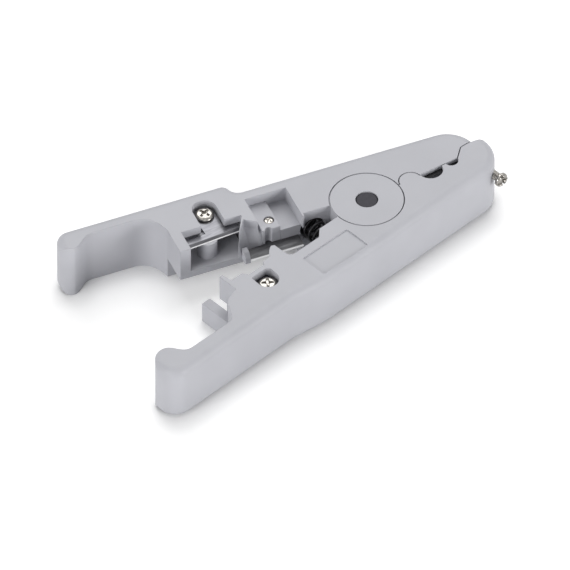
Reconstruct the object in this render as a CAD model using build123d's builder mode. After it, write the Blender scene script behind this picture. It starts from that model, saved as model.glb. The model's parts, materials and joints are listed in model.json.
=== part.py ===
from build123d import *
import math
import os

# A hand tool that cuts and strips flat and round network cable. Two moulded halves turn about one
# vertical pin. It lies flat with its handles open, which is its rest pose.
# The origin is on the pin's axis at the bottom face. +X points to the nose, +Y to the far half.
# Each half has its own plan frame: u runs along the half towards the nose, v across it to the far side.

# Whole tool, in millimetres and degrees
body_height = 18.0
rest_angle = 10.4             # from the tool's middle line to each half's own axis, handles open
closing_angle = 18.0          # travel of the near half until the handles are squeezed shut
body_gap = 0.3                # between the halves wherever they pass each other
screw_play = 0.05             # round a screw in its hole
outer_round = 2.4             # top outer edges of both halves
bottom_round = 2.6            # bottom outer edges

# Pivot
hub_radius = 10.3             # round top hub of the far half, and round lower ear of the near half
hub_groove_width = 0.35
hub_groove_depth = 0.6
pin_radius = 3.2
pin_running_play = 0.06
pin_top_sink = 0.25
pin_edge = 0.35
pin_foot = 0.0                # the pin's lower end is flush with the bottom face
clip_radius = 5.4
clip_thickness = 0.9
clip_groove_depth = 0.7
clip_bottom = 1.2
clip_recess_radius = 6.2
clip_recess_depth = 2.4
clip_mouth_width = 4.0

# Far half
far_front_width = 17.4
far_grip_width = 21.5
far_end_radius = 4.0
far_end_u = -81.6
far_step_start_u = -30.4
far_step_radius = 2.8         # of the two arcs of the step in the outer wall
far_nose_radius = 9.1
far_nose_u = 27.8
far_strip_thickness = 4.2     # grip wall behind the fingers
far_recess_start_u = -75.5
far_recess_end_u = -63.5
far_root_v = 10.1             # where the finger recess meets the box, and the low set-back
box_left_u = -55.8
box_front_v = 0.8
box_floor_bottom = 7.0
box_floor_top = 9.25
cheek_width = 3.2
window_right_u = -38.3        # front end of the slanted right wall of the window
window_back_right_u = -34.7
plate_edge_v = 7.9            # front edge of the top plate over the window
plate_thickness = 2.6
cavity_back_v = 11.0
cavity_deep_v = 14.5
cavity_deep_left_u = -39.4
post_radius = 2.8
post_u = -45.5
post_v = 6.0
far_screw_u = -43.1
far_screw_v = 13.8
far_slot_radius = 3.5

# Pocket beside the box, with the clamp over the long cutter
pocket_left_u = -31.35
pocket_right_u = -19.0
pocket_back_v = 13.1
pocket_floor = 13.4
pocket_front_v = 2.3
clamp_left_u = -30.5          # a narrow slot stays between the clamp and the pocket's left wall
clamp_right_u = -25.0
clamp_top = 15.0
clamp_groove_radius = 1.0
clamp_groove_u = -28.6
clamp_screw_u = -27.1
clamp_screw_v = 5.8
notch_back_v = 6.0            # notch for the near half's fin, in the wall left of the pocket
notch_right_v = 3.4
notch_bottom = 15.0           # below it the face slopes out to the wall over the cutter
notch_low_left_u = -35.2
notch_low_v = 2.2
mouth_corner_u = -18.5        # right end of the far half's inner step
spring_wall_v = 1.8

# Cutter
cutter_top = 9.8
cutter_thickness = 0.8
cutter_left_u = -35.6
cutter_right_u = -19.7
cutter_edge_v = -1.9
cutter_back_v = 9.0
cutter_bevel = 1.1
clamp_play = 0.05
lug_width = 1.6
lug_bottom = 8.2
lug_top = 11.8
lug_front_v = -1.6

# Stripping blades: a strip with a tab that lies under its screw
blade_thickness = 0.8
blade_bevel = 0.9
blade_land = 0.1              # flat left under a bevel
blade_tab_round = 2.0
far_tab_half_width = 3.0
near_tab_half_width = 2.9
blade_play = 0.1
far_blade_tilt = 4.5          # the far blade's edge lies along the near one with the handles shut
far_blade_left = -9.35        # along the far blade, from its screw
far_blade_right = 6.6
far_blade_edge = -9.28        # across it, from its screw
far_blade_back = -6.5
far_blade_tab_end = 2.2
near_blade_left_u = -49.6
near_blade_right_u = -37.7
near_blade_edge_v = 2.7
near_blade_back_v = -0.1
near_blade_tab_end_v = -5.9

# Near half
near_front_width = 15.0
near_nose_width = 14.3          # the outer wall runs in a little towards the nose
near_grip_width = 14.3
near_grip_neck_width = 13.7
near_end_radius = 5.2
near_end_u = -81.9
near_step_start_u = -28.0
near_step_end_u = -43.5
near_nose_radius = 9.4
near_nose_u = 31.6
near_recess_v = -9.0
near_recess_start_u = -75.5
near_recess_end_u = -62.0
near_root_u = -54.8
near_root_v = -2.0
plate_left_u = -50.8          # upright plate of the guide block
plate_width = 1.0
plate_tip_v = 5.9
plate_low_tip_v = 2.9         # below the far box's floor the plate stands back
bar_left_u = -53.7
bar_right_u = -50.7
bar_tip_v = 9.9
lobe_v = 2.6                  # edge of the guide block left of the screw slot
lobe_right_v = 2.3
lobe_bottom = 12.5
lobe_end_u = -45.4
rim_v = 0.9                   # low rim between the slot and the far blade
rim_width = 1.4
near_slot_radius = 3.2
near_screw_u = -41.7
near_screw_v = -3.9
block_right_u = -38.2
fin_base_u = -35.0
fin_left_u = -32.0
fin_right_u = -31.1
fin_tip_v = 5.0
fin_bottom = 15.3
dip_v = -1.7
dip_left_u = -29.4
dip_right_u = -20.0
near_wall_v = 0.6
near_wall_left_u = -17.6
anvil_left_u = -36.0
anvil_bottom = 7.0
anvil_top = 12.0
panel_left_u = -29.1
panel_right_u = -12.2
panel_top_v = -4.7
panel_bottom_v = -13.2
panel_depth = 0.4

# Jaws. The line where they meet runs along the tool's middle, with an ear near the hub and a lip
# of the near half round the far nose.
round_notch_start_x = 17.8
round_notch_end_x = 24.9
round_notch_depth = 3.3
small_notch_start_x = 26.2
small_notch_end_x = 30.2
small_notch_depth = 1.9
near_side_start_x = -16.0     # where each side of the jaw line begins, behind the pin
far_side_start_x = -3.0
ear_start_x = 11.0            # ear of the near half beside the hub
ear_end_x = 17.6
ear_height = 2.9
lip_start_x = 30.2            # lip of the near half round the far nose
lip_rise_x = 33.3
lip_rise_y = 3.1
lip_top_x = 37.2
lip_top_y = 3.4
lip_end_x = 42.0
lip_end_y = 2.2
nose_blade_thickness = 0.8
nose_blade_bottom = 15.8
nose_blade_left_x = 18.0
nose_blade_right_x = 30.0
nose_blade_edge_y = -1.2
nose_blade_back_y = 6.0

# Spring between the halves
spring_x = -14.7
spring_height = 11.0
spring_outer_radius = 3.3
spring_wire_radius = 0.45
spring_turns = 6.5
spring_hole_play = 0.4
spring_far_y = 8.9
spring_near_y = -6.5

# Fasteners
pan_head_radius = 2.7
pan_head_height = 1.9
pan_head_round = 1.1
screw_radius = 1.45
screw_length = 8.0
small_head_radius = 1.45
small_head_height = 0.9
small_screw_radius = 0.8
small_screw_length = 6.2
cross_length = 3.2
cross_width = 0.7
cross_depth = 0.9
small_cross_length = 1.7
small_cross_width = 0.4
small_cross_depth = 0.5

# Depth screw in the near nose
depth_u = 36.8
depth_height = 12.0
depth_head_radius = 2.1
depth_head_height = 1.6
depth_cross_length = 2.9
depth_cross_width = 0.6
depth_cross_depth = 0.8
depth_radius = 1.25
depth_head_gap = 0.9          # from the near nose's full width to the underside of the head
depth_screw_length = 11.0
insert_radius = 1.9
insert_length = 5.0
insert_depth = 4.3            # from the near nose's full width to the outer end of the insert
depth_play = 0.05

layer_split = body_height / 2
outside = 60.0                # well outside the tool
blade_bottom = body_height - plate_thickness - blade_thickness
cutter_bottom = cutter_top - cutter_thickness
depth_head_v = -near_nose_width - depth_head_gap
depth_tip_v = depth_head_v + depth_screw_length
insert_start_v = -near_nose_width + insert_depth
insert_end_v = insert_start_v + insert_length


def half_frame(angle, height=0.0):
    """Plan frame turned by an angle about the pin, at a height."""
    along = Vector(1, 0, 0).rotate(Axis.Z, angle)
    return Plane(origin=(0, 0, height), x_dir=along, z_dir=(0, 0, 1))


def far_frame(height=0.0):
    return half_frame(-rest_angle, height)


def near_frame(height=0.0):
    return half_frame(rest_angle, height)


def middle_frame(height=0.0):
    return half_frame(0.0, height)


def shut_frame(height=0.0):
    """The far half's frame as the near half meets it with the handles shut."""
    return half_frame(closing_angle - rest_angle, height)


def side_frame(base, u, v, height):
    """Upright frame that looks along -v of a half, with its centre at a point of that half."""
    centre = base.from_local_coords(Vector(u, v, height))
    return Plane(origin=centre, x_dir=base.x_dir, z_dir=-base.y_dir)


def level_edges(part, height, frame, low, high):
    """Edges at one height whose middle lies between two v values of a frame."""
    level = part.edges().filter_by_position(Axis.Z, height, height)
    return [edge for edge in level if low < frame.to_local_coords(edge @ 0.5).Y < high]


def far_blade_frame(height=0.0):
    """Plan frame of the far blade, with its origin at its screw."""
    base = far_frame()
    along = base.x_dir.rotate(Axis.Z, far_blade_tilt)
    centre = base.from_local_coords(Vector(far_screw_u, far_screw_v, height))
    return Plane(origin=centre, x_dir=along, z_dir=(0, 0, 1))


def end_frame(base, u):
    """Upright frame that looks along u of a half: its own x is v, its own y is height."""
    return Plane(origin=base.from_local_coords(Vector(u, 0, 0)), x_dir=base.y_dir, z_dir=base.x_dir)


def outer_step(start, end_v, radius):
    """Two equal arcs that carry the outer wall from one width to another."""
    rise = abs(end_v - start.Y)
    run = -math.sqrt(4 * rise * radius - rise**2)
    first = TangentArc(start, (start.X + run / 2, (start.Y + end_v) / 2), tangent=(run, 0))
    return TangentArc(first @ 1, (start.X + run, end_v), tangent=first % 1)


def jaw_line():
    """The line where the jaws meet, from the ear beside the hub to beyond the tip."""
    ear_middle = ((ear_start_x + ear_end_x) / 2, ear_height)
    ear = ThreePointArc((ear_start_x, 0.0), ear_middle, (ear_end_x, 0.0))
    flat = Line(ear @ 1, (lip_start_x, 0.0))
    rise = Line(flat @ 1, (lip_rise_x, lip_rise_y))
    lip = ThreePointArc(rise @ 1, (lip_top_x, lip_top_y), (lip_end_x, lip_end_y))
    return Wire([ear, flat, rise, lip])


# Far half
with BuildPart() as far_handle:
    with BuildSketch(far_frame()):
        with BuildLine():
            end_v = far_grip_width - far_end_radius
            nose_v = far_front_width - far_nose_radius
            end = RadiusArc((far_end_u, far_grip_width), (far_end_u - far_end_radius, end_v), -far_end_radius)
            inner = Polyline(
                end @ 1,
                (far_end_u - far_end_radius, -far_front_width),
                (far_nose_u + far_nose_radius, -far_front_width),
                (far_nose_u + far_nose_radius, nose_v),
            )
            nose = RadiusArc(inner @ 1, (far_nose_u, far_front_width), -far_nose_radius)
            front = Line(nose @ 1, (far_step_start_u, far_front_width))
            step = outer_step(front @ 1, far_grip_width, far_step_radius)
            Line(step @ 1, end @ 0)
        make_face()
    extrude(amount=body_height)
    fillet(level_edges(far_handle, body_height, far_frame(), 11, 40), outer_round)
    fillet(level_edges(far_handle, 0, far_frame(), 11, 40), bottom_round)

    # Finger recess, and everything on the near side of the inner faces
    with BuildSketch(far_frame()):
        with BuildLine():
            recess_v = far_grip_width - far_strip_thickness
            hook_v = end_v - far_end_radius
            corner = ThreePointArc(
                (far_end_u - far_end_radius - 0.1, end_v),
                (far_end_u - 0.8 * far_end_radius, end_v - 0.7 * far_end_radius),
                (far_end_u - 0.5, hook_v),
            )
            hook = Spline(corner @ 1, (far_recess_start_u, recess_v), tangents=[(1, 0.25), (1, 0.05)])
            flat = Line(hook @ 1, (far_recess_end_u, recess_v))
            root = Spline(flat @ 1, (box_left_u, far_root_v), tangents=[(1, 0), (0.25, -1)])
            Polyline(
                root @ 1,
                (box_left_u, -outside),
                (far_end_u - outside, -outside),
                (far_end_u - outside, end_v),
                corner @ 0,
            )
        make_face()
    extrude(amount=body_height, mode=Mode.SUBTRACT)
    with BuildSketch(far_frame()):
        with BuildLine():
            Polyline(
                (box_left_u - 1, box_front_v),
                (mouth_corner_u, box_front_v),
                (mouth_corner_u, spring_wall_v),
                (-hub_radius / 2, spring_wall_v),
                (-hub_radius / 2, -outside),
                (box_left_u - 1, -outside),
                close=True,
            )
        make_face()
    extrude(amount=body_height, mode=Mode.SUBTRACT)
    with BuildSketch(far_frame()):
        with Locations(((box_left_u + mouth_corner_u) / 2 - 0.5, far_root_v / 2 - 0.5)):
            Rectangle(mouth_corner_u - box_left_u + 1, far_root_v + 1)
    extrude(amount=box_floor_bottom, mode=Mode.SUBTRACT)

    # Near side of the jaw line, then the round hub over the near half's ear
    with BuildSketch(middle_frame()) as near_side:
        with BuildLine():
            line = jaw_line()
            Polyline(
                line @ 1,
                (outside, lip_end_y),
                (outside, -outside),
                (near_side_start_x, -outside),
                (near_side_start_x, 0),
                line @ 0,
            )
        make_face()
        offset(amount=body_gap / 2)
    extrude(amount=body_height, mode=Mode.SUBTRACT)
    with BuildSketch(middle_frame(body_height)):
        Circle(hub_radius + hub_groove_width)
    extrude(amount=-hub_groove_depth, mode=Mode.SUBTRACT)
    with BuildSketch(middle_frame(layer_split + body_gap / 2)):
        Circle(hub_radius)
    extrude(amount=layer_split - body_gap / 2)
    with BuildSketch(middle_frame()):
        Circle(hub_radius + body_gap)
    extrude(amount=layer_split + body_gap / 2, mode=Mode.SUBTRACT)
    with BuildSketch(middle_frame()):
        Circle(pin_radius)
    extrude(amount=body_height, mode=Mode.SUBTRACT)

    # Window with its cavity under the top plate, and the post under the blade
    with BuildSketch(far_frame(box_floor_top)):
        with BuildLine():
            Polyline(
                (box_left_u + cheek_width, box_front_v - 2),
                (box_left_u + cheek_width, plate_edge_v),
                (window_back_right_u, plate_edge_v),
                (window_back_right_u, plate_edge_v - 0.8),
                (window_right_u, box_front_v),
                (window_right_u, box_front_v - 2),
                close=True,
            )
        make_face()
    extrude(amount=body_height - box_floor_top, mode=Mode.SUBTRACT)
    with BuildSketch(far_frame(box_floor_top)):
        with Locations(((box_left_u + cheek_width + window_back_right_u) / 2, (plate_edge_v + cavity_back_v) / 2)):
            Rectangle(window_back_right_u - box_left_u - cheek_width, cavity_back_v - plate_edge_v)
        with Locations(((cavity_deep_left_u + window_back_right_u) / 2, (plate_edge_v + cavity_deep_v) / 2)):
            Rectangle(window_back_right_u - cavity_deep_left_u, cavity_deep_v - plate_edge_v)
    extrude(amount=body_height - plate_thickness - box_floor_top, mode=Mode.SUBTRACT)
    with BuildSketch(far_frame(box_floor_top)):
        with Locations((post_u, post_v)):
            Circle(post_radius)
    extrude(amount=blade_bottom - box_floor_top)
    with BuildSketch(far_frame(blade_bottom)):
        with Locations((far_screw_u, far_screw_v)):
            Circle(far_slot_radius)
        with Locations((far_screw_u, (far_screw_v + plate_edge_v - 1) / 2)):
            Rectangle(2 * far_slot_radius, far_screw_v - plate_edge_v + 1)
    extrude(amount=body_height - blade_bottom, mode=Mode.SUBTRACT)
    with BuildSketch(far_frame(blade_bottom)):
        with Locations((far_screw_u, far_screw_v)):
            Circle(screw_radius + screw_play)
    extrude(amount=-screw_length, mode=Mode.SUBTRACT)

    # Pocket, seat of the clamp and slot of the cutter
    with BuildSketch(far_frame(pocket_floor)):
        with Locations(((pocket_left_u + pocket_right_u) / 2, (pocket_back_v + pocket_front_v) / 2)):
            Rectangle(pocket_right_u - pocket_left_u, pocket_back_v - pocket_front_v)
        with Locations(((clamp_left_u + pocket_right_u) / 2, (pocket_front_v + box_front_v) / 2)):
            Rectangle(pocket_right_u - clamp_left_u, pocket_front_v - box_front_v + 1)
    extrude(amount=body_height - pocket_floor, mode=Mode.SUBTRACT)
    with BuildSketch(far_frame(cutter_top)):
        with Locations(((clamp_left_u + clamp_right_u) / 2, (pocket_back_v + box_front_v - 1) / 2)):
            Rectangle(clamp_right_u - clamp_left_u, pocket_back_v - box_front_v + 1)
    extrude(amount=body_height - cutter_top, mode=Mode.SUBTRACT)
    with BuildSketch(far_frame(cutter_top)) as notch_low:
        with BuildLine():
            Polyline(
                (notch_low_left_u, notch_low_v),
                (pocket_left_u, notch_low_v),
                (clamp_left_u, notch_low_v),
                (clamp_left_u, box_front_v - 2),
                (window_right_u, box_front_v - 2),
                (window_right_u + 1, box_front_v + 0.1),
                close=True,
            )
        make_face()
    with BuildSketch(far_frame(notch_bottom)) as notch_high:
        with BuildLine():
            Polyline(
                (window_back_right_u, notch_back_v),
                (pocket_left_u, notch_right_v),
                (clamp_left_u, notch_right_v),
                (clamp_left_u, box_front_v - 2),
                (window_right_u - 1, box_front_v - 2),
                (window_right_u, box_front_v + 0.1),
                close=True,
            )
        make_face()
    loft(sections=[notch_low.sketch, notch_high.sketch], ruled=True, mode=Mode.SUBTRACT)
    extrude(notch_high.sketch, amount=body_height - notch_bottom, mode=Mode.SUBTRACT)
    with BuildSketch(far_frame(cutter_bottom)):
        with Locations(((clamp_right_u + mouth_corner_u) / 2, (pocket_front_v + box_front_v - 1) / 2)):
            Rectangle(mouth_corner_u - clamp_right_u, pocket_front_v - box_front_v + 1)
    extrude(amount=pocket_floor - cutter_top + cutter_thickness, mode=Mode.SUBTRACT)
    with BuildSketch(far_frame(cutter_bottom)):
        with Locations(((cutter_left_u + cutter_right_u) / 2, (cutter_back_v + box_front_v - 1) / 2)):
            Rectangle(cutter_right_u - cutter_left_u, cutter_back_v - box_front_v + 1)
    extrude(amount=cutter_thickness, mode=Mode.SUBTRACT)
    with BuildSketch(far_frame(cutter_bottom)):
        with Locations((clamp_screw_u, clamp_screw_v)):
            Circle(small_screw_radius + screw_play)
    extrude(amount=clamp_top - small_head_height - small_screw_length - cutter_bottom, mode=Mode.SUBTRACT)
    with BuildSketch(end_frame(far_frame(), cutter_left_u - lug_width)):
        with BuildLine():
            Polyline(
                (box_front_v + 0.5, lug_bottom),
                (box_front_v + 0.5, lug_top),
                ((box_front_v + lug_front_v) / 2, lug_top - 0.3),
                (lug_front_v, cutter_top + 0.2),
                (lug_front_v, lug_bottom),
                close=True,
            )
        make_face()
    extrude(amount=lug_width)

    # Seat of the spring, slot of the nose blade, and the low face beside the near lip
    with BuildSketch(side_frame(middle_frame(), spring_x, spring_far_y, spring_height)):
        Circle(spring_outer_radius + spring_hole_play)
    extrude(amount=spring_far_y, mode=Mode.SUBTRACT)
    with BuildSketch(middle_frame(nose_blade_bottom)):
        with Locations(((nose_blade_left_x + nose_blade_right_x) / 2, (nose_blade_back_y - 1) / 2)):
            Rectangle(nose_blade_right_x - nose_blade_left_x, nose_blade_back_y + 1)
    extrude(amount=nose_blade_thickness, mode=Mode.SUBTRACT)

far_handle.part.label = "far_handle"

# Near half
with BuildPart() as near_handle:
    with BuildSketch(near_frame()):
        with BuildLine():
            end_v = near_end_radius - near_grip_width
            nose_v = near_nose_radius - near_nose_width
            end = RadiusArc((near_end_u - near_end_radius, end_v), (near_end_u, -near_grip_width), -near_end_radius)
            grip = Line(end @ 1, (near_step_end_u, -near_grip_neck_width))
            front = Line((near_step_start_u, -near_front_width), (near_nose_u, -near_nose_width))
            Spline(grip @ 1, front @ 0, tangents=[grip % 1, front % 0])
            nose = RadiusArc(front @ 1, (near_nose_u + near_nose_radius, nose_v), -near_nose_radius)
            Polyline(
                nose @ 1,
                (near_nose_u + near_nose_radius, near_front_width),
                (near_end_u - near_end_radius, near_front_width),
                end @ 0,
            )
        make_face()
    extrude(amount=body_height)
    fillet(level_edges(near_handle, body_height, near_frame(), -40, -7), outer_round)
    fillet(level_edges(near_handle, 0, near_frame(), -40, -7), bottom_round)

    # Finger recess and the inner outline with its guide plate, lobes and dip
    with BuildSketch(near_frame()):
        with BuildLine():
            corner = ThreePointArc(
                (near_end_u - near_end_radius - 0.1, end_v),
                (near_end_u - 0.75 * near_end_radius, end_v + 0.75 * near_end_radius),
                (near_end_u, end_v + near_end_radius),
            )
            hook = Spline(corner @ 1, (near_recess_start_u, near_recess_v), tangents=[(1, -0.15), (1, -0.05)])
            flat = Line(hook @ 1, (near_recess_end_u, near_recess_v))
            root = Spline(flat @ 1, (near_root_u, near_root_v), tangents=[(1, 0), (1, 0.5)])
            rest = Polyline(
                root @ 1,
                (plate_left_u, near_root_v + 1.1),
                (plate_left_u, plate_tip_v),
                (plate_left_u + plate_width, plate_tip_v),
                (plate_left_u + 1.5 * plate_width, lobe_v),
                (lobe_end_u, lobe_v),
                (lobe_end_u + 1.1, rim_v),
                (near_screw_u + near_slot_radius, rim_v),
                (near_screw_u + near_slot_radius + 0.5, lobe_right_v - 0.4),
                (fin_base_u, lobe_right_v),
                (fin_right_u, lobe_right_v),
            )
            dip = Spline(rest @ 1, (dip_left_u, dip_v), tangents=[(0.1, -1), (1, 0)])
            Polyline(
                dip @ 1,
                (dip_right_u, dip_v),
                (near_wall_left_u, near_wall_v),
                (hub_radius / 2, near_wall_v),
                (hub_radius / 2, outside),
                (near_end_u - outside, outside),
                (near_end_u - outside, end_v),
                corner @ 0,
            )
        make_face()
    extrude(amount=body_height, mode=Mode.SUBTRACT)
    with BuildSketch(near_frame()):
        with BuildLine():
            Polyline(
                (plate_left_u + plate_width, lobe_right_v),
                (block_right_u, lobe_right_v),
                (block_right_u, dip_v),
                (dip_left_u, dip_v),
                (dip_left_u, bar_tip_v),
                (plate_left_u + plate_width, bar_tip_v),
                close=True,
            )
        make_face()
    extrude(amount=lobe_bottom, mode=Mode.SUBTRACT)
    with BuildSketch(near_frame()):
        with Locations((plate_left_u + plate_width / 2, plate_low_tip_v + plate_tip_v / 2)):
            Rectangle(4 * plate_width, plate_tip_v)
    extrude(amount=box_floor_top + body_gap, mode=Mode.SUBTRACT)

    # Far side of the jaw line, the notches, then the ear under the far hub
    with BuildSketch(middle_frame()):
        with BuildLine():
            line = jaw_line()
            Polyline(
                line @ 1,
                (outside, lip_end_y),
                (outside, outside),
                (far_side_start_x, outside),
                (far_side_start_x, 0),
                line @ 0,
            )
        make_face()
        offset(amount=body_gap / 2)
    extrude(amount=body_height, mode=Mode.SUBTRACT)
    with BuildSketch(middle_frame()):
        for start, finish, depth in (
            (round_notch_start_x, round_notch_end_x, round_notch_depth),
            (small_notch_start_x, small_notch_end_x, small_notch_depth),
        ):
            with BuildLine():
                middle = (start + finish) / 2
                arc = ThreePointArc((start, -body_gap / 2), (middle, -depth), (finish, -body_gap / 2))
                Polyline(arc @ 1, (finish, 1), (start, 1), arc @ 0)
            make_face()
    extrude(amount=body_height, mode=Mode.SUBTRACT)
    with BuildSketch(middle_frame(layer_split - body_gap / 2)):
        Circle(hub_radius + body_gap)
    extrude(amount=layer_split + body_gap / 2, mode=Mode.SUBTRACT)
    with BuildSketch(middle_frame()):
        Circle(hub_radius)
    extrude(amount=layer_split - body_gap / 2)
    with BuildSketch(middle_frame()):
        Circle(pin_radius + pin_running_play)
    extrude(amount=body_height, mode=Mode.SUBTRACT)
    with BuildSketch(middle_frame()):
        Circle(clip_recess_radius)
    extrude(amount=clip_recess_depth, mode=Mode.SUBTRACT)

    # Guide bar, fin and anvil
    with BuildSketch(near_frame()):
        with Locations(((bar_left_u + bar_right_u) / 2, (bar_tip_v + near_root_v - 2) / 2)):
            Rectangle(bar_right_u - bar_left_u, bar_tip_v - near_root_v + 2)
    extrude(amount=box_floor_bottom - body_gap)
    with BuildSketch(near_frame(fin_bottom)):
        with BuildLine():
            flank = Spline(
                (fin_base_u, lobe_right_v),
                ((fin_base_u + fin_left_u) / 2 - 0.1, fin_tip_v - 1.0),
                (fin_left_u, fin_tip_v),
            )
            Polyline(flank @ 1, (fin_right_u, fin_tip_v - 0.5), (fin_right_u, 0), (fin_base_u, 0), flank @ 0)
        make_face()
    extrude(amount=body_height - fin_bottom)
    with BuildSketch(shut_frame(anvil_bottom)):
        anvil_v = cutter_edge_v - body_gap
        with Locations(((anvil_left_u + cutter_right_u) / 2, anvil_v - 2)):
            Rectangle(cutter_right_u - anvil_left_u, 4)
    extrude(amount=anvil_top - anvil_bottom)

    # Screw recess, blade slot, bare panel and seats
    with BuildSketch(near_frame(blade_bottom)):
        with Locations((near_screw_u, near_screw_v)):
            Circle(near_slot_radius)
        with BuildLine():
            Polyline(
                (near_screw_u - near_slot_radius, near_screw_v),
                (near_screw_u - near_slot_radius + 0.2, rim_v - rim_width),
                (near_screw_u + near_slot_radius - 0.7, rim_v - rim_width),
                (near_screw_u + near_slot_radius + 0.2, rim_v - rim_width - 1),
                (near_screw_u + near_slot_radius, near_screw_v),
                close=True,
            )
        make_face()
    extrude(amount=body_height - blade_bottom, mode=Mode.SUBTRACT)
    with BuildSketch(near_frame(blade_bottom)):
        with Locations(((near_blade_left_u + near_blade_right_u) / 2, near_blade_back_v - blade_play + 4)):
            Rectangle(near_blade_right_u - near_blade_left_u + 2 * blade_play, 8)
        with Locations((near_screw_u, (near_screw_v + near_blade_back_v) / 2)):
            Rectangle(2 * (near_tab_half_width + blade_play), near_blade_back_v - near_screw_v)
    extrude(amount=blade_thickness + blade_play, mode=Mode.SUBTRACT)
    with BuildSketch(near_frame(blade_bottom)):
        with Locations((near_screw_u, near_screw_v)):
            Circle(screw_radius + screw_play)
    extrude(amount=-screw_length, mode=Mode.SUBTRACT)
    with BuildSketch(near_frame(body_height)):
        with Locations(((panel_left_u + panel_right_u) / 2, (panel_top_v + panel_bottom_v) / 2)):
            RectangleRounded(panel_right_u - panel_left_u, panel_top_v - panel_bottom_v, 0.5)
    extrude(amount=-panel_depth, mode=Mode.SUBTRACT)
    with BuildSketch(side_frame(middle_frame(), spring_x, spring_far_y, spring_height)):
        Circle(spring_outer_radius + spring_hole_play)
    extrude(amount=spring_far_y - spring_near_y, mode=Mode.SUBTRACT)
    with BuildSketch(middle_frame(nose_blade_bottom - body_gap)):
        with Locations(((nose_blade_left_x + nose_blade_right_x) / 2, nose_blade_edge_y / 2 - body_gap)):
            Rectangle(nose_blade_right_x - nose_blade_left_x + 2 * body_gap, -nose_blade_edge_y + 2 * body_gap)
    extrude(amount=nose_blade_thickness + 2 * body_gap, mode=Mode.SUBTRACT)

    # Bore of the depth screw with the seat of its insert
    with BuildSketch(side_frame(near_frame(), depth_u, 0, depth_height)):
        Circle(depth_radius + depth_play)
    extrude(amount=2 * near_nose_width, mode=Mode.SUBTRACT)
    with BuildSketch(side_frame(near_frame(), depth_u, insert_end_v, depth_height)):
        Circle(insert_radius)
    extrude(amount=insert_end_v - insert_start_v, mode=Mode.SUBTRACT)

near_handle.part.label = "near_handle"

# Pivot pin, closed by a spring clip under the near half's ear
with BuildPart() as pivot_pin:
    with BuildSketch(middle_frame(pin_foot)):
        Circle(pin_radius)
    extrude(amount=body_height - pin_top_sink - pin_foot)
    chamfer(pivot_pin.edges().filter_by(GeomType.CIRCLE), pin_edge)
    with BuildSketch(middle_frame(clip_bottom)):
        Circle(pin_radius + 1)
        Circle(pin_radius - clip_groove_depth, mode=Mode.SUBTRACT)
    extrude(amount=clip_thickness, mode=Mode.SUBTRACT)

pivot_pin.part.label = "pivot_pin"

with BuildPart() as pivot_clip:
    with BuildSketch(middle_frame(clip_bottom)):
        Circle(clip_radius)
        Circle(pin_radius - clip_groove_depth, mode=Mode.SUBTRACT)
        with Locations((0, -clip_radius / 2)):
            Rectangle(clip_mouth_width, clip_radius + 1, mode=Mode.SUBTRACT)
    extrude(amount=clip_thickness)

pivot_clip.part.label = "pivot_clip"

# Compression spring that opens the handles
with BuildPart() as handle_spring:
    with BuildLine():
        coil_radius = spring_outer_radius - spring_wire_radius
        start_y = spring_near_y + body_gap + spring_wire_radius
        coil_length = spring_far_y - spring_wire_radius - start_y
        coil = Helix(
            pitch=coil_length / spring_turns,
            height=coil_length,
            radius=coil_radius,
            center=(spring_x, start_y, spring_height),
            direction=(0, 1, 0),
        )
    with BuildSketch(Plane(origin=coil @ 0, z_dir=coil % 0)):
        Circle(spring_wire_radius)
    sweep(is_frenet=True)

handle_spring.part.label = "handle_spring"

# Stripping blade of the far half
with BuildPart() as far_strip_blade:
    with BuildSketch(far_blade_frame(blade_bottom)) as outline:
        with BuildLine():
            Polyline(
                (far_blade_left, far_blade_edge),
                (far_blade_left, far_blade_back),
                (-far_tab_half_width, far_blade_back),
                (-far_tab_half_width, far_blade_tab_end),
                (far_tab_half_width, far_blade_tab_end),
                (far_tab_half_width, far_blade_back),
                (far_blade_right, far_blade_back),
                (far_blade_right, far_blade_edge),
                close=True,
            )
        make_face()
        fillet(outline.vertices().group_by(Axis.Y)[-1], blade_tab_round)
        Circle(screw_radius + screw_play, mode=Mode.SUBTRACT)
    extrude(amount=blade_thickness)
    with BuildSketch(end_frame(far_blade_frame(), far_blade_left)):
        with BuildLine():
            Polyline(
                (far_blade_edge, blade_bottom + blade_land),
                (far_blade_edge, blade_bottom + blade_thickness),
                (far_blade_edge + blade_bevel, blade_bottom + blade_thickness),
                close=True,
            )
        make_face()
    extrude(amount=far_blade_right - far_blade_left, mode=Mode.SUBTRACT)

far_strip_blade.part.label = "far_strip_blade"

# Stripping blade of the near half
with BuildPart() as near_strip_blade:
    with BuildSketch(near_frame(blade_bottom)) as outline:
        with BuildLine():
            Polyline(
                (near_blade_left_u, near_blade_edge_v),
                (near_blade_left_u, near_blade_back_v),
                (near_screw_u - near_tab_half_width, near_blade_back_v),
                (near_screw_u - near_tab_half_width, near_blade_tab_end_v),
                (near_screw_u + near_tab_half_width, near_blade_tab_end_v),
                (near_screw_u + near_tab_half_width, near_blade_back_v),
                (near_blade_right_u, near_blade_back_v),
                (near_blade_right_u, near_blade_edge_v),
                close=True,
            )
        make_face()
        fillet(outline.vertices().group_by(Axis.Y)[0], blade_tab_round)
        with Locations((near_screw_u, near_screw_v)):
            Circle(screw_radius + screw_play, mode=Mode.SUBTRACT)
    extrude(amount=blade_thickness)
    with BuildSketch(end_frame(near_frame(), near_blade_left_u)):
        with BuildLine():
            Polyline(
                (near_blade_edge_v, blade_bottom + blade_land),
                (near_blade_edge_v, blade_bottom + blade_thickness),
                (near_blade_edge_v - blade_bevel, blade_bottom + blade_thickness),
                close=True,
            )
        make_face()
    extrude(amount=near_blade_right_u - near_blade_left_u, mode=Mode.SUBTRACT)

near_strip_blade.part.label = "near_strip_blade"

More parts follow.
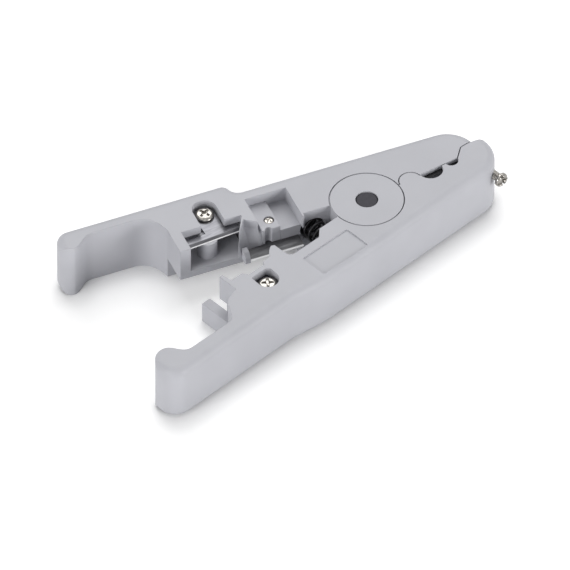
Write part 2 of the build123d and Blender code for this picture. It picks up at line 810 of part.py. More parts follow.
# Pan-head screw over each stripping blade
with BuildPart() as far_blade_screw:
    with BuildSketch(far_frame(blade_bottom + blade_thickness)):
        with Locations((far_screw_u, far_screw_v)):
            Circle(pan_head_radius)
    extrude(amount=pan_head_height)
    fillet(far_blade_screw.edges().group_by(Axis.Z)[-1], pan_head_round)
    with BuildSketch(far_frame(blade_bottom + blade_thickness)):
        with Locations((far_screw_u, far_screw_v)):
            Circle(screw_radius)
    extrude(amount=-screw_length)
    with BuildSketch(far_frame(blade_bottom + blade_thickness + pan_head_height)):
        with Locations((far_screw_u, far_screw_v)):
            Rectangle(cross_length, cross_width)
            Rectangle(cross_width, cross_length)
    extrude(amount=-cross_depth, mode=Mode.SUBTRACT)

far_blade_screw.part.label = "far_blade_screw"

with BuildPart() as near_blade_screw:
    with BuildSketch(near_frame(blade_bottom + blade_thickness)):
        with Locations((near_screw_u, near_screw_v)):
            Circle(pan_head_radius)
    extrude(amount=pan_head_height)
    fillet(near_blade_screw.edges().group_by(Axis.Z)[-1], pan_head_round)
    with BuildSketch(near_frame(blade_bottom + blade_thickness)):
        with Locations((near_screw_u, near_screw_v)):
            Circle(screw_radius)
    extrude(amount=-screw_length)
    with BuildSketch(near_frame(blade_bottom + blade_thickness + pan_head_height)):
        with Locations((near_screw_u, near_screw_v)):
            Rectangle(cross_length, cross_width)
            Rectangle(cross_width, cross_length)
    extrude(amount=-cross_depth, mode=Mode.SUBTRACT)

near_blade_screw.part.label = "near_blade_screw"

# Cutter with its clamp and screw
with BuildPart() as cutter_blade:
    with BuildSketch(far_frame(cutter_bottom)):
        with Locations(((cutter_left_u + cutter_right_u) / 2, (cutter_edge_v + cutter_back_v) / 2)):
            Rectangle(cutter_right_u - cutter_left_u, cutter_back_v - cutter_edge_v)
        with Locations((clamp_screw_u, clamp_screw_v)):
            Circle(small_screw_radius + screw_play, mode=Mode.SUBTRACT)
    extrude(amount=cutter_thickness)
    with BuildSketch(end_frame(far_frame(), cutter_left_u)):
        with BuildLine():
            Polyline(
                (cutter_edge_v, cutter_bottom + blade_land),
                (cutter_edge_v, cutter_top),
                (cutter_edge_v + cutter_bevel, cutter_top),
                close=True,
            )
        make_face()
    extrude(amount=cutter_right_u - cutter_left_u, mode=Mode.SUBTRACT)

cutter_blade.part.label = "cutter_blade"

with BuildPart() as cutter_clamp:
    with BuildSketch(far_frame(cutter_top)):
        with Locations(((clamp_left_u + clamp_right_u) / 2, (pocket_front_v + pocket_back_v) / 2)):
            Rectangle(
                clamp_right_u - clamp_left_u - 2 * clamp_play,
                pocket_back_v - pocket_front_v - 2 * clamp_play,
            )
        with Locations((clamp_groove_u, pocket_front_v)):
            Circle(clamp_groove_radius, mode=Mode.SUBTRACT)
        with Locations((clamp_screw_u, clamp_screw_v)):
            Circle(small_screw_radius + screw_play, mode=Mode.SUBTRACT)
    extrude(amount=clamp_top - cutter_top)
    with BuildSketch(far_frame(clamp_top)):
        with Locations((clamp_screw_u, clamp_screw_v)):
            Circle(small_head_radius + screw_play)
    extrude(amount=-small_head_height, mode=Mode.SUBTRACT)

cutter_clamp.part.label = "cutter_clamp"

with BuildPart() as cutter_clamp_screw:
    with BuildSketch(far_frame(clamp_top)):
        with Locations((clamp_screw_u, clamp_screw_v)):
            Circle(small_head_radius)
    extrude(amount=-small_head_height)
    with BuildSketch(far_frame(clamp_top - small_head_height)):
        with Locations((clamp_screw_u, clamp_screw_v)):
            Circle(small_screw_radius)
    extrude(amount=-small_screw_length)
    with BuildSketch(far_frame(clamp_top)):
        with Locations((clamp_screw_u, clamp_screw_v)):
            Rectangle(small_cross_length, small_cross_width)
            Rectangle(small_cross_width, small_cross_length)
    extrude(amount=-small_cross_depth, mode=Mode.SUBTRACT)

cutter_clamp_screw.part.label = "cutter_clamp_screw"

# Blade between the jaws, seen through the two notches
with BuildPart() as nose_blade:
    with BuildSketch(middle_frame(nose_blade_bottom)):
        with Locations(
            ((nose_blade_left_x + nose_blade_right_x) / 2, (nose_blade_edge_y + nose_blade_back_y) / 2)
        ):
            Rectangle(nose_blade_right_x - nose_blade_left_x, nose_blade_back_y - nose_blade_edge_y)
    extrude(amount=nose_blade_thickness)
    with BuildSketch(end_frame(middle_frame(), nose_blade_left_x)):
        with BuildLine():
            Polyline(
                (nose_blade_edge_y, nose_blade_bottom + nose_blade_thickness - blade_land),
                (nose_blade_edge_y, nose_blade_bottom),
                (nose_blade_edge_y + blade_bevel, nose_blade_bottom),
                close=True,
            )
        make_face()
    extrude(amount=nose_blade_right_x - nose_blade_left_x, mode=Mode.SUBTRACT)

nose_blade.part.label = "nose_blade"

# Depth screw in its threaded insert
with BuildPart() as depth_screw:
    with BuildSketch(side_frame(near_frame(), depth_u, depth_head_v, depth_height)):
        Circle(depth_head_radius)
    extrude(amount=depth_head_height)
    with BuildSketch(side_frame(near_frame(), depth_u, depth_tip_v, depth_height)):
        Circle(depth_radius)
    extrude(amount=depth_tip_v - depth_head_v)
    with BuildSketch(side_frame(near_frame(), depth_u, depth_head_v - depth_head_height, depth_height)):
        Rectangle(depth_cross_length, depth_cross_width)
        Rectangle(depth_cross_width, depth_cross_length)
    extrude(amount=-depth_cross_depth, mode=Mode.SUBTRACT)

depth_screw.part.label = "depth_screw"

with BuildPart() as depth_screw_insert:
    with BuildSketch(side_frame(near_frame(), depth_u, insert_end_v, depth_height)):
        Circle(insert_radius)
        Circle(depth_radius + depth_play, mode=Mode.SUBTRACT)
    extrude(amount=insert_end_v - insert_start_v)

depth_screw_insert.part.label = "depth_screw_insert"

os.makedirs("parts", exist_ok=True)
export_step(far_handle.part, "parts/far_handle.step")
export_step(near_handle.part, "parts/near_handle.step")
export_step(pivot_pin.part, "parts/pivot_pin.step")
export_step(pivot_clip.part, "parts/pivot_clip.step")
export_step(handle_spring.part, "parts/handle_spring.step")
export_step(far_strip_blade.part, "parts/far_strip_blade.step")
export_step(near_strip_blade.part, "parts/near_strip_blade.step")
export_step(far_blade_screw.part, "parts/far_blade_screw.step")
export_step(near_blade_screw.part, "parts/near_blade_screw.step")
export_step(cutter_blade.part, "parts/cutter_blade.step")
export_step(cutter_clamp.part, "parts/cutter_clamp.step")
export_step(cutter_clamp_screw.part, "parts/cutter_clamp_screw.step")
export_step(nose_blade.part, "parts/nose_blade.step")
export_step(depth_screw.part, "parts/depth_screw.step")
export_step(depth_screw_insert.part, "parts/depth_screw_insert.step")
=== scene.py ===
import json
import math

import bmesh
import bpy
from mathutils import Matrix, Vector


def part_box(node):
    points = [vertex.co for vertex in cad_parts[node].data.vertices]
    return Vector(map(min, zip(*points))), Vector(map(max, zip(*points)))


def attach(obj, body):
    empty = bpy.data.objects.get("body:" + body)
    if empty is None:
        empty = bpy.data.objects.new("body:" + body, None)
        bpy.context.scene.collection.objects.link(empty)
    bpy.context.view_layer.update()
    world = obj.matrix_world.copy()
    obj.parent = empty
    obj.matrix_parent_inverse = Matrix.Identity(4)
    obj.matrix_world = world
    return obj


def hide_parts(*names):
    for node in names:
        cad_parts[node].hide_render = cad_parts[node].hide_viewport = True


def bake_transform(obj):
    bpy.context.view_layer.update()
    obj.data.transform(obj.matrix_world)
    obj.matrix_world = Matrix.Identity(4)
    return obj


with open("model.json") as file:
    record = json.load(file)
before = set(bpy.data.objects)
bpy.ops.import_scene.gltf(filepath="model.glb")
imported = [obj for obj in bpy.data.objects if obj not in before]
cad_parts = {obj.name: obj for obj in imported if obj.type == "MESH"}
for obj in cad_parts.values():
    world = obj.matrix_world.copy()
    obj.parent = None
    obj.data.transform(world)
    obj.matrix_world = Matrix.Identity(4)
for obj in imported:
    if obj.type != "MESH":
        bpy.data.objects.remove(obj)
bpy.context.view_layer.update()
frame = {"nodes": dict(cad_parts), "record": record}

# Looks of a network cable stripper that lies flat with its handles open. Lengths are in metres, but the
# screws' own sizes are in millimetres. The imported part's origin is on the pivot's axis at the bottom; +X
# points to the nose, +Y to the far half.

MM = 0.001

# Camera, found from the photograph's outline
IMAGE_SIZE = 570              # pixels, each way
PIVOT_PIXEL = (366.8, 199.3)  # where the top of the pivot lies in the photograph
PIXELS_PER_METRE = 3600.0
CAMERA_AZIMUTH = math.radians(-33.2)
CAMERA_ELEVATION = math.radians(44.4)
CAMERA_DISTANCE = 6.0
CAMERA_REACH = 50.0
SENSOR_WIDTH = 36.0
BODY_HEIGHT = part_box("far_handle")[1].z

# Light: one lamp behind and above, and one low at each side, as in a light tent.
# Each lamp has its azimuth and elevation in degrees, its width and height, and its power.
LAMP_DISTANCE = 0.9
LAMPS = {
    "top_lamp": (155, 55, (0.8, 0.8), 6.0),
    "right_lamp": (22, 14, (0.45, 0.3), 4.95),
    "left_lamp": (-78, 14, (0.45, 0.3), 4.1),
}
WORLD_STRENGTH = 0.23         # on the object; the camera, glossy and transmission rays see 1
FLOOR_SIZE = 6.0
FLOOR_TONE = 0.86
FLOOR_GLOW = 0.37             # added for camera, glossy and transmission rays alone
FLOOR_SHADE_REACH = 0.007     # how near the tool the glow gives way to the contact shadow
FLOOR_SHADE_START = 0.35      # openness at which the glow begins

# Finishes: darkest and lightest base colour, and roughness from the dark to the light places
PLASTIC = ((0.443, 0.446, 0.478), (0.471, 0.474, 0.507), (0.46, 0.56))
NICKEL = ((0.22, 0.21, 0.196), (0.42, 0.402, 0.376), (0.11, 0.21))
BRASS = ((0.52, 0.38, 0.15), (0.66, 0.50, 0.22), (0.25, 0.4))
PIN_TONE = (0.027, 0.026, 0.032)
SPRING_TONE = (0.022, 0.022, 0.024)
STRIP_BLADE_TONE = (0.13, 0.13, 0.14)
CUTTER_TONE = (0.12, 0.12, 0.125)
# The nose blade is dark steel, its tone pushed to near-black as painted shade of the notches
NOSE_BLADE_SHADE_TONE = (0.010, 0.010, 0.012)
# Bare ground steel of the cutting edges, near-white and little metallic: partly a painted highlight
GROUND_EDGE_AND_GLINT = ((0.84, 0.84, 0.85), (0.94, 0.94, 0.95))

# Noise of the finishes, in cells per metre
PLASTIC_CLOUDS = 60.0
PLASTIC_GRAIN = 5200.0
OXIDE_MOTTLE = 900.0
OXIDE_GRAIN = 4000.0
BLADE_SCRATCHES = 1500.0
NICKEL_MOTTLE = 1400.0
NICKEL_GRAIN = 5000.0
BRASS_MOTTLE = 1200.0
SCRATCH_STRETCH = (0.15, 1, 1)

OXIDE_SHADES = (0.75, 1.25)   # darkest and lightest, as parts of the tone
BLADE_SHADES = (0.8, 1.25)
OXIDE_SPREAD = 0.08           # of the roughness, each way
BLADE_SPREAD = 0.06
PLASTIC_EDGE = 0.22 * MM      # how softly the mouldings' sharp edges catch the light
STRIP_EDGE_LINE = 0.24 * MM   # height of the bright line along a strip blade's cutting edge
CUTTER_EDGE_LINE = 0.34 * MM
EDGE_LINE_FADE = (1.25, 0.85)  # parts of that height between which the line sets in
SLANTED_NORMAL = 0.95         # a face whose normal has less than this along Z is a ground bevel
SHADER_SAMPLES = 8            # of the softened edges and of the floor's openness

# Places of the CAD, the last four of which the box of a node doesn't give
CUTTER_EDGE_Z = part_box("cutter_blade")[0].z
STRIP_EDGE_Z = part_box("far_strip_blade")[0].z
REST_ANGLE = math.radians(10.4)
DEPTH_SCREW_U = 36.8 * MM
DEPTH_SCREW_V = -15.2 * MM    # underside of the head
DEPTH_SCREW_Z = 12.0 * MM

SPRING_WIRE = 0.45 * MM       # radius
SPRING_TURNS = 6.5
SPRING_STEPS = 36             # rings in each turn
SPRING_SIDES = 10             # corners of each ring

# Screws, in millimetres: head radius and height, shank radius and length, the cross recess's length, slot
# width and depth, and the thread's pitch. cad_height is the head height of the CAD screw.
PAN_SCREW = dict(
    head=2.7, height=1.35, cad_height=1.9, shank=1.45, length=8.0, cross=3.4, slot=0.85, depth=1.15, pitch=0.7
)
CLAMP_SCREW = dict(
    head=1.45, height=0.8, cad_height=0.9, shank=0.8, length=6.2, cross=1.9, slot=0.42, depth=0.5, pitch=0.4
)
DEPTH_SCREW = dict(
    head=2.1, height=1.6, shank=1.25, length=11.0, cross=4.3, slot=0.95, depth=1.3, pitch=0.5
)
PAN_SEGMENTS = 160            # round each screw
CLAMP_SEGMENTS = 112
DEPTH_SEGMENTS = 128
HEAD_STEPS = 44               # rings from the head's middle to its rim
THREAD_STEPS = 8              # rings in each pitch

# Shape of the heads: falls as parts of the head's height, places as parts of its radius
DOME_FALL = 0.22
SHOULDER_START = 0.62
SHOULDER_FALL = 0.42
HEAD_RIM = ((1.0, 0.12), (0.965, 0.03), (0.93, 0.0))  # with the heights in millimetres
COLLAR = 1.02                 # where the underside meets the shank, as a part of the shank's radius

# Shape of the cross recesses: parts of the recess's own length, width and depth
WING_TAPER = 0.25             # how much narrower the wings are at their ends
WING_RISE = 0.45              # how much shallower they are there
WALL_SLOPE = (0.05, 0.04)     # millimetres of a wing's side wall outside and inside its edge
END_SLOPE = (0.02, 0.12)      # the same of a wing's end wall
MIDDLE_SLOPE = (1.05, 0.55)   # radii between which the middle sinks, as parts of the width
MIDDLE_DEPTH = 0.8

# Shape of the threads
THREAD_CUT = 0.17             # depth, as a part of the shank's radius
THREAD_FLANK = 1.6            # steepness of the flanks
THREAD_ROOT = 0.3             # how far the flanks are sunk, which leaves a flat root
THREAD_RUNOUT = 0.5           # pitches over which the thread fades at the tip


def new_material(name):
    """A new node material with a Principled shader; gives its nodes, links and shader."""
    material = bpy.data.materials.new(name)
    material.use_nodes = True
    nodes = material.node_tree.nodes
    return material, nodes, material.node_tree.links, nodes["Principled BSDF"]


def object_noise(nodes, links, scale, detail=3.0, stretch=(1, 1, 1)):
    """Noise in the object's own coordinates, in cells per metre."""
    place = nodes.new("ShaderNodeTexCoord")
    mapping = nodes.new("ShaderNodeMapping")
    mapping.inputs["Scale"].default_value = stretch
    noise = nodes.new("ShaderNodeTexNoise")
    noise.inputs["Scale"].default_value = scale
    noise.inputs["Detail"].default_value = detail
    links.new(place.outputs["Object"], mapping.inputs["Vector"])
    links.new(mapping.outputs["Vector"], noise.inputs["Vector"])
    return noise.outputs["Fac"]


def ramp(nodes, links, source, stops):
    """Colour ramp on a value; stops are (place, colour)."""
    node = nodes.new("ShaderNodeValToRGB")
    elements = node.color_ramp.elements
    for element, (place, colour) in zip(elements, stops):
        element.position = place
        element.color = (*colour, 1)
    links.new(source, node.inputs["Fac"])
    return node.outputs["Color"]


def value_range(nodes, links, source, low, high, start=0.0, end=1.0):
    """Maps a value from start to end onto low to high."""
    node = nodes.new("ShaderNodeMapRange")
    node.inputs["From Min"].default_value = start
    node.inputs["From Max"].default_value = end
    node.inputs["To Min"].default_value = low
    node.inputs["To Max"].default_value = high
    links.new(source, node.inputs["Value"])
    return node.outputs["Result"]


def maths(nodes, links, operation, *values):
    """A maths node on the outputs and plain numbers given."""
    node = nodes.new("ShaderNodeMath")
    node.operation = operation
    for socket, value in zip(node.inputs, values):
        if isinstance(value, float):
            socket.default_value = value
        else:
            links.new(value, socket)
    return node.outputs["Value"]


def bump(nodes, links, shader, height, strength, distance):
    """Bump of a height value, with the relief in metres."""
    node = nodes.new("ShaderNodeBump")
    node.inputs["Strength"].default_value = strength
    node.inputs["Distance"].default_value = distance
    links.new(height, node.inputs["Height"])
    links.new(node.outputs["Normal"], shader.inputs["Normal"])
    return node


def tint(nodes, links, shader, noise, finish, start=0.3, end=0.7):
    """Base colour and roughness that follow a noise between a finish's two ends."""
    dark, light, roughness = finish
    links.new(ramp(nodes, links, noise, [(start, dark), (end, light)]), shader.inputs["Base Color"])
    links.new(value_range(nodes, links, noise, *roughness), shader.inputs["Roughness"])


def plastic_material():
    """Matt grey moulded plastic: fine spark-eroded grain, faint cloudiness, softly lit edges."""
    material, nodes, links, shader = new_material("grey_moulded_plastic")
    tint(nodes, links, shader, object_noise(nodes, links, PLASTIC_CLOUDS), PLASTIC, 0.35, 0.65)
    shader.inputs["Specular IOR Level"].default_value = 0.4
    relief = bump(nodes, links, shader, object_noise(nodes, links, PLASTIC_GRAIN, 2.0), 0.22, 0.03 * MM)
    soft = nodes.new("ShaderNodeBevel")
    soft.samples = SHADER_SAMPLES
    soft.inputs["Radius"].default_value = PLASTIC_EDGE
    links.new(soft.outputs["Normal"], relief.inputs["Normal"])
    return material


def shades(tone, factors):
    """The dark and the light shade of a tone."""
    return [tuple(factor * c for c in tone) for factor in factors]


def blued_steel_material(name, tone, roughness):
    """Dark oxide finish with soft mottling."""
    material, nodes, links, shader = new_material(name)
    spread = (roughness - OXIDE_SPREAD, roughness + OXIDE_SPREAD)
    mottle = object_noise(nodes, links, OXIDE_MOTTLE)
    tint(nodes, links, shader, mottle, (*shades(tone, OXIDE_SHADES), spread))
    shader.inputs["Metallic"].default_value = 0.6
    bump(nodes, links, shader, object_noise(nodes, links, OXIDE_GRAIN), 0.15, 0.02 * MM)
    return material


def edge_line(nodes, links, edge_z, line):
    """1 on the slanted faces within a line's height of the cutting edge, 0 elsewhere."""
    place = nodes.new("ShaderNodeTexCoord")
    split = nodes.new("ShaderNodeSeparateXYZ")
    links.new(place.outputs["Object"], split.inputs["Vector"])
    away = maths(nodes, links, "ABSOLUTE", maths(nodes, links, "SUBTRACT", split.outputs["Z"], edge_z))
    outer, inner = (line * part for part in EDGE_LINE_FADE)
    near_edge = value_range(nodes, links, away, 0.0, 1.0, outer, inner)
    geometry = nodes.new("ShaderNodeNewGeometry")
    lean = nodes.new("ShaderNodeSeparateXYZ")
    links.new(geometry.outputs["True Normal"], lean.inputs["Vector"])
    upright = maths(nodes, links, "ABSOLUTE", lean.outputs["Z"])
    slanted = maths(nodes, links, "LESS_THAN", upright, SLANTED_NORMAL)
    return maths(nodes, links, "MULTIPLY", near_edge, slanted)


def blade_material(name, edge_z, line, tone, roughness):
    """Dark hardened steel with ground bevels; the cutting edge is a thin bright line at edge_z, bare ground
    steel with a painted highlight in its colour.
    """
    material, nodes, links, shader = new_material(name)
    scratch = object_noise(nodes, links, BLADE_SCRATCHES, 3.0, SCRATCH_STRETCH)
    # Mask of the bare ground edge, which carries a painted highlight
    bevel_and_glint = edge_line(nodes, links, edge_z, line)
    mix = nodes.new("ShaderNodeMix")
    mix.data_type = "RGBA"
    links.new(bevel_and_glint, mix.inputs["Factor"])
    for socket, (dark, light) in (("A", shades(tone, BLADE_SHADES)), ("B", GROUND_EDGE_AND_GLINT)):
        links.new(ramp(nodes, links, scratch, [(0.3, dark), (0.7, light)]), mix.inputs[socket])
    links.new(mix.outputs["Result"], shader.inputs["Base Color"])
    spread = value_range(nodes, links, scratch, roughness - BLADE_SPREAD, roughness + BLADE_SPREAD)
    links.new(spread, shader.inputs["Roughness"])
    links.new(value_range(nodes, links, bevel_and_glint, 1.0, 0.25), shader.inputs["Metallic"])
    bump(nodes, links, shader, scratch, 0.10, 0.01 * MM)
    return material


def nickel_material():
    """Nickel plate with fine turning marks."""
    material, nodes, links, shader = new_material("nickel_plate")
    tint(nodes, links, shader, object_noise(nodes, links, NICKEL_MOTTLE), NICKEL)
    shader.inputs["Metallic"].default_value = 1.0
    bump(nodes, links, shader, object_noise(nodes, links, NICKEL_GRAIN), 0.08, 0.01 * MM)
    return material


def brass_material():
    """Turned brass."""
    material, nodes, links, shader = new_material("turned_brass")
    tint(nodes, links, shader, object_noise(nodes, links, BRASS_MOTTLE), BRASS)
    shader.inputs["Metallic"].default_value = 1.0
    return material


def background_rays(nodes, links):
    """1 for the camera, glossy and transmission rays that show the background, 0 for the others."""
    path = nodes.new("ShaderNodeLightPath")
    seen = path.outputs["Is Camera Ray"]
    for ray in ("Is Glossy Ray", "Is Transmission Ray"):
        seen = maths(nodes, links, "MAXIMUM", seen, path.outputs[ray])
    return seen


def floor_material():
    """Pale ground that the camera and glossy rays see as white, with the part's shadow kept."""
    material, nodes, links, shader = new_material("floor_paper")
    shader.inputs["Base Color"].default_value = (FLOOR_TONE, FLOOR_TONE, FLOOR_TONE, 1)
    shader.inputs["Roughness"].default_value = 0.9
    shader.inputs["Specular IOR Level"].default_value = 0.0
    shader.inputs["Emission Color"].default_value = (1, 1, 1, 1)
    openness = nodes.new("ShaderNodeAmbientOcclusion")
    openness.samples = SHADER_SAMPLES
    openness.inputs["Distance"].default_value = FLOOR_SHADE_REACH
    shade = value_range(nodes, links, openness.outputs["AO"], 0.0, FLOOR_GLOW, FLOOR_SHADE_START)
    glow = maths(nodes, links, "MULTIPLY", background_rays(nodes, links), shade)
    links.new(glow, shader.inputs["Emission Strength"])
    return material


def dress_nodes():
    """Gives every CAD node its material; gives back the materials by the record's slot."""
    strip_steel = blade_material("strip_blade_steel", STRIP_EDGE_Z, STRIP_EDGE_LINE, STRIP_BLADE_TONE, 0.30)
    slots = {
        "grey_abs": plastic_material(),
        "pin_black": blued_steel_material("pin_oxide", PIN_TONE, 0.6),
        "spring_black": blued_steel_material("spring_oxide", SPRING_TONE, 0.35),
        "blade_steel": strip_steel,
        "nickel_steel": nickel_material(),
        "insert_brass": brass_material(),
    }
    own = {
        "cutter_blade": blade_material("cutter_steel", CUTTER_EDGE_Z, CUTTER_EDGE_LINE, CUTTER_TONE, 0.46),
        "nose_blade": blued_steel_material("nose_blade_steel_and_shade", NOSE_BLADE_SHADE_TONE, 0.55),
    }
    for entry in frame["record"]["subparts"]:
        node = frame["nodes"][entry["node"]]
        for slot in node.material_slots:
            slot.material = own.get(entry["node"], slots[entry["material_slot"]])
    return slots


def camera_directions():
    """Unit vectors to the right, up and forward of the camera."""
    ground_away = Vector((-math.sin(CAMERA_AZIMUTH), math.cos(CAMERA_AZIMUTH), 0))
    right = Vector((math.cos(CAMERA_AZIMUTH), math.sin(CAMERA_AZIMUTH), 0))
    forward = ground_away * math.cos(CAMERA_ELEVATION) - Vector((0, 0, math.sin(CAMERA_ELEVATION)))
    return right, right.cross(forward), forward


def add_camera():
    """A long lens far away, aimed so that the pivot falls on its pixel."""
    right, up, forward = camera_directions()
    shift_right = (IMAGE_SIZE / 2 - PIVOT_PIXEL[0]) / PIXELS_PER_METRE
    shift_up = (PIVOT_PIXEL[1] - IMAGE_SIZE / 2) / PIXELS_PER_METRE
    aim = Vector((0, 0, BODY_HEIGHT)) + right * shift_right + up * shift_up
    data = bpy.data.cameras.new("camera")
    data.sensor_width = SENSOR_WIDTH
    data.lens = SENSOR_WIDTH * CAMERA_DISTANCE * PIXELS_PER_METRE / IMAGE_SIZE
    data.clip_end = CAMERA_REACH
    camera = bpy.data.objects.new("camera", data)
    bpy.context.scene.collection.objects.link(camera)
    turn = Matrix((right, up, -forward)).transposed().to_4x4()
    camera.matrix_world = Matrix.Translation(aim - forward * CAMERA_DISTANCE) @ turn
    bpy.context.scene.camera = camera


def add_area_light(name, azimuth, elevation, size, power):
    """Rectangular area light aimed at the pivot."""
    data = bpy.data.lights.new(name, "AREA")
    data.shape = "RECTANGLE"
    data.size, data.size_y = size
    data.energy = power
    light = bpy.data.objects.new(name, data)
    a, e = math.radians(azimuth), math.radians(elevation)
    towards = Vector((math.sin(a) * math.cos(e), -math.cos(a) * math.cos(e), math.sin(e)))
    light.location = towards * LAMP_DISTANCE
    light.rotation_euler = towards.to_track_quat("Z", "Y").to_euler()
    bpy.context.scene.collection.objects.link(light)


def add_stage():
    """Pale floor, a world that the camera sees as white, and the lamps."""
    bpy.ops.mesh.primitive_plane_add(size=FLOOR_SIZE, location=(0, 0, 0))
    floor = bpy.context.active_object
    floor.name = "floor"
    floor.data.materials.append(floor_material())

    world = bpy.data.worlds.new("studio")
    world.use_nodes = True
    nodes, links = world.node_tree.nodes, world.node_tree.links
    background = nodes["Background"]
    background.inputs["Color"].default_value = (1, 1, 1, 1)
    strength = value_range(nodes, links, background_rays(nodes, links), WORLD_STRENGTH, 1.0)
    links.new(strength, background.inputs["Strength"])
    bpy.context.scene.world = world
    for name, (azimuth, elevation, size, power) in LAMPS.items():
        add_area_light(name, azimuth, elevation, size, power)


def smooth_step(low, high, value):
    """0 at low, 1 at high, smooth between; low may be the larger one."""
    t = min(max((value - low) / (high - low), 0.0), 1.0)
    return t * t * (3 - 2 * t)


def recess_depth(x, y, screw):
    """Depth of a cross recess in millimetres: four wings that rise outwards from a deep middle."""
    along, across = max(abs(x), abs(y)), min(abs(x), abs(y))
    end = screw["cross"] / 2
    half = screw["slot"] / 2 * (1.0 - WING_TAPER * along / end)
    wing = smooth_step(half + WALL_SLOPE[0], half - WALL_SLOPE[1], across)
    reach = smooth_step(end + END_SLOPE[0], end - END_SLOPE[1], along)
    outer, inner = (screw["slot"] * part for part in MIDDLE_SLOPE)
    middle = smooth_step(outer, inner, math.hypot(x, y))
    slope = 1.0 - WING_RISE * along / end
    return screw["depth"] * max(wing * reach * slope, MIDDLE_DEPTH * middle)


def head_height(radius, screw):
    """Height of a domed pan head over its underside, in millimetres."""
    height, part = screw["height"], radius / screw["head"]
    dome = DOME_FALL * height * part**2
    shoulder = max(part - SHOULDER_START, 0.0) / (1 - SHOULDER_START)
    return height - dome - SHOULDER_FALL * height * (1 - math.sqrt(max(1 - shoulder**2, 0.0)))


def thread_radius(height, turn, screw):
    """Radius of the threaded shank at a height under the head and a part of a turn."""
    phase = (height / screw["pitch"] + turn) % 1.0
    ridge = min(max(THREAD_FLANK * abs(2 * phase - 1) - THREAD_ROOT, 0.0), 1.0)
    fade = smooth_step(0.0, THREAD_RUNOUT * screw["pitch"], screw["length"] - height)
    return screw["shank"] * (1 - THREAD_CUT * (1 - ridge * fade))


def screw_rings(screw, segments):
    """Rings of points from the middle of the head to the tip of the shank, in millimetres."""
    angles = [2 * math.pi * j / segments for j in range(segments)]
    rings = []
    for i in range(1, HEAD_STEPS + 1):
        radius = screw["head"] * math.sin(i / HEAD_STEPS * math.pi / 2)
        flat = [(radius * math.cos(angle), radius * math.sin(angle)) for angle in angles]
        rings.append([(x, y, head_height(radius, screw) - recess_depth(x, y, screw)) for x, y in flat])
    for part, height in (*HEAD_RIM, (screw["shank"] / screw["head"] * COLLAR, 0.0)):
        radius = screw["head"] * part
        rings.append([(radius * math.cos(angle), radius * math.sin(angle), height) for angle in angles])
    shank_steps = round(screw["length"] / screw["pitch"] * THREAD_STEPS)
    for i in range(shank_steps + 1):
        height = screw["length"] * i / shank_steps
        radii = [thread_radius(height, j / segments, screw) for j in range(segments)]
        rings.append([(r * math.cos(angle), r * math.sin(angle), -height) for r, angle in zip(radii, angles)])
    return rings


def finished_piece(name, mesh, material):
    """Turns a mesh under construction into a smooth piece of one material."""
    for face in mesh.faces:
        face.smooth = True
    data = bpy.data.meshes.new(name)
    mesh.to_mesh(data)
    mesh.free()
    data.materials.append(material)
    piece = bpy.data.objects.new(name, data)
    bpy.context.scene.collection.objects.link(piece)
    return piece


def add_screw(slots, name, node, body, screw, matrix, segments):
    """A screw with a domed cross-recess head and a cut thread, in place of a plain CAD screw."""
    mesh = bmesh.new()
    rings = [[mesh.verts.new(Vector(p) * MM) for p in ring] for ring in screw_rings(screw, segments)]
    top = mesh.verts.new((0, 0, (screw["height"] - screw["depth"]) * MM))
    tip = mesh.verts.new((0, 0, -screw["length"] * MM))
    for j in range(segments):
        k = (j + 1) % segments
        mesh.faces.new((top, rings[0][j], rings[0][k]))
        for first, second in zip(rings, rings[1:]):
            mesh.faces.new((first[j], second[j], second[k], first[k]))
        mesh.faces.new((tip, rings[-1][k], rings[-1][j]))
    mesh.transform(matrix)
    piece = finished_piece(name, mesh, slots["nickel_steel"])
    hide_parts(node)
    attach(piece, body)


def upright_place(node, screw, turn):
    """Place of a screw that stands upright in its node's middle, turned in plan by an angle."""
    low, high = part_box(node)
    middle = (low + high) / 2
    middle.z = high.z - screw["cad_height"] * MM
    return Matrix.Translation(middle) @ Matrix.Rotation(math.radians(turn), 4, "Z")


def depth_screw_place(turn):
    """Place of the depth screw, whose head points out of the near nose, turned about its axis."""
    along = Vector((math.cos(REST_ANGLE), math.sin(REST_ANGLE), 0))
    outward = Vector((math.sin(REST_ANGLE), -math.cos(REST_ANGLE), 0))
    seat = along * DEPTH_SCREW_U - outward * DEPTH_SCREW_V + Vector((0, 0, DEPTH_SCREW_Z))
    lie = Matrix((along, outward.cross(along), outward)).transposed().to_4x4()
    return Matrix.Translation(seat) @ lie @ Matrix.Rotation(math.radians(turn), 4, "Z")


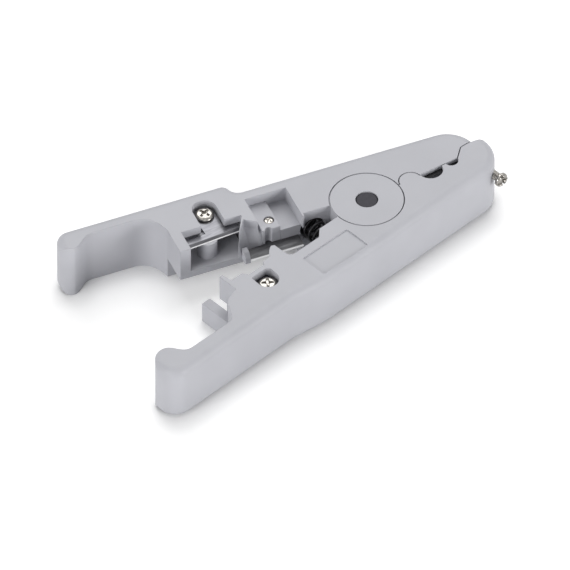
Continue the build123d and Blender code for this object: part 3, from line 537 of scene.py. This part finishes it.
def add_screws(slots):
    """The three upright screws and the depth screw."""
    for name, node, body, screw, turn, segments in (
        ("far_pan_screw", "far_blade_screw", "far", PAN_SCREW, 20, PAN_SEGMENTS),
        ("near_pan_screw", "near_blade_screw", "near", PAN_SCREW, -28, PAN_SEGMENTS),
        ("clamp_pan_screw", "cutter_clamp_screw", "far", CLAMP_SCREW, 30, CLAMP_SEGMENTS),
    ):
        add_screw(slots, name, node, body, screw, upright_place(node, screw, turn), segments)
    place = depth_screw_place(12)
    add_screw(slots, "depth_set_screw", "depth_screw", "depth_screw", DEPTH_SCREW, place, DEPTH_SEGMENTS)


def add_spring(slots):
    """The handle spring as a coil whose ends sit on the two halves."""
    low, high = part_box("handle_spring")
    middle = (low + high) / 2
    coil = (high.x - low.x) / 2 - SPRING_WIRE
    start, length = low.y + SPRING_WIRE, high.y - low.y - 2 * SPRING_WIRE
    rise = length / (2 * math.pi * SPRING_TURNS)
    steps = round(SPRING_TURNS * SPRING_STEPS)
    corners = [2 * math.pi * j / SPRING_SIDES for j in range(SPRING_SIDES)]
    mesh = bmesh.new()
    rings = []
    for i in range(steps + 1):
        angle = 2 * math.pi * SPRING_TURNS * i / steps
        outward = Vector((math.sin(angle), 0, math.cos(angle)))
        centre = Vector((middle.x, start + length * i / steps, middle.z)) + outward * coil
        along = Vector((math.cos(angle) * coil, rise, -math.sin(angle) * coil)).normalized()
        across = along.cross(outward)
        spokes = [math.cos(turn) * outward + math.sin(turn) * across for turn in corners]
        rings.append([mesh.verts.new(centre + SPRING_WIRE * spoke) for spoke in spokes])
    for first, second in zip(rings, rings[1:]):
        for j in range(SPRING_SIDES):
            k = (j + 1) % SPRING_SIDES
            mesh.faces.new((first[j], first[k], second[k], second[j]))
    mesh.faces.new(reversed(rings[0]))
    mesh.faces.new(rings[-1])
    bmesh.ops.recalc_face_normals(mesh, faces=mesh.faces)
    piece = finished_piece("coil_spring", mesh, slots["spring_black"])
    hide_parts("handle_spring")
    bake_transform(piece)


materials = dress_nodes()
add_camera()
add_stage()
add_screws(materials)
add_spring(materials)

bpy.context.scene.view_settings.view_transform = "Standard"
